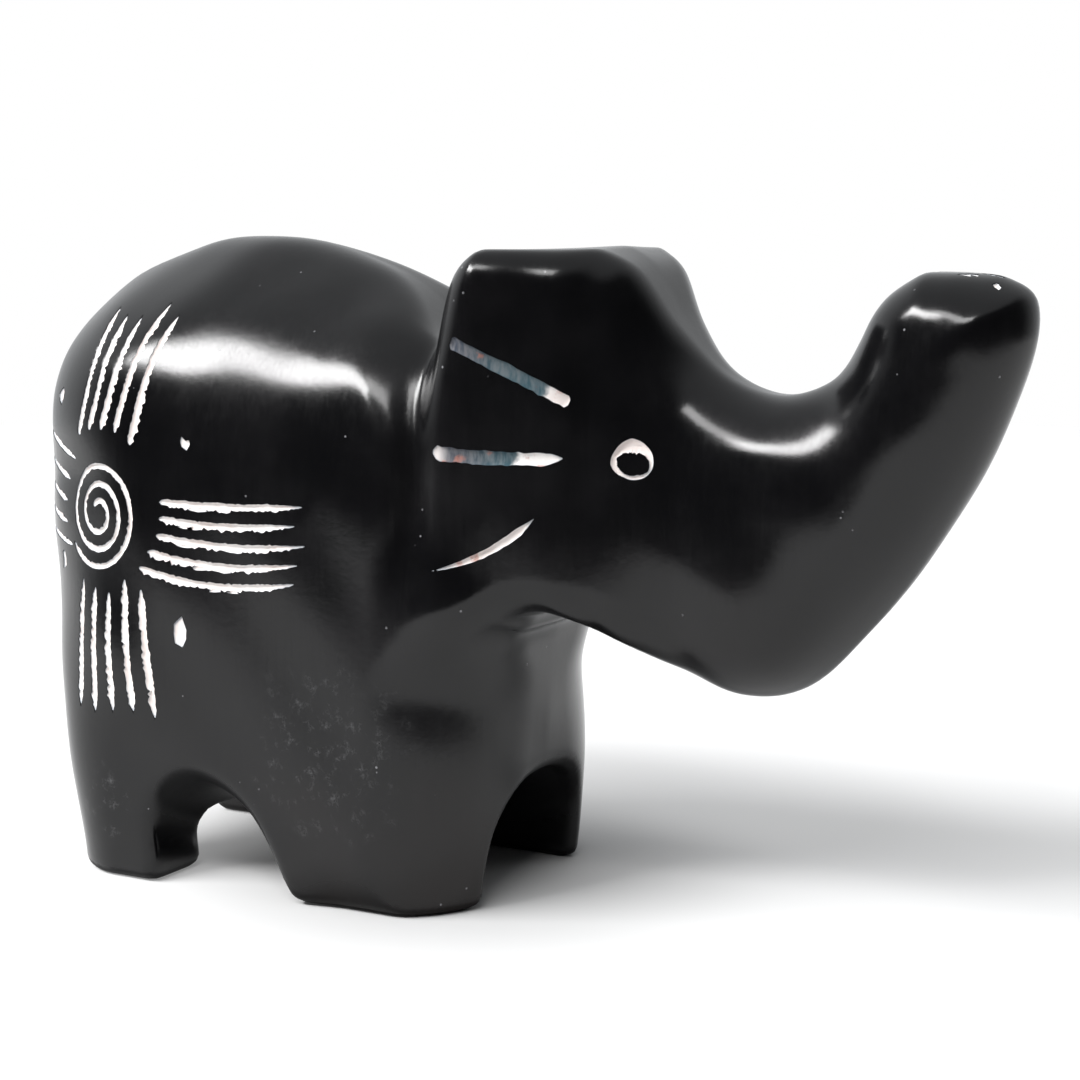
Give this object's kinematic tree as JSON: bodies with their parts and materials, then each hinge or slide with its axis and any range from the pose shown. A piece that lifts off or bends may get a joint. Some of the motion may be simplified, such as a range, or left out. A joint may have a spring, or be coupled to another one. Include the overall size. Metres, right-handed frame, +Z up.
{
  "type": "carved elephant figurine",
  "caption": "Small carved soapstone elephant with a raised trunk, polished black dyed skin and etched pale marks, standing on four short legs.",
  "frame": {"origin": "on the surface it stands on, under the middle of the figure's box", "axes": "+X towards the raised trunk, +Y towards the elephant's left side, +Z up"},
  "size_m": [0.1134, 0.0388, 0.0696],
  "materials": {
    "bare_soapstone": "matt scratched stone, pale with pink and grey",
    "black_dye": "polished and waxed black dye in the stone's surface"
  },
  "bodies": {
    "root": {"soapstone_core": "bare_soapstone", "dyed_skin": "black_dye", "right_pupil": "black_dye", "left_pupil": "black_dye"}
  },
  "joints": []
}
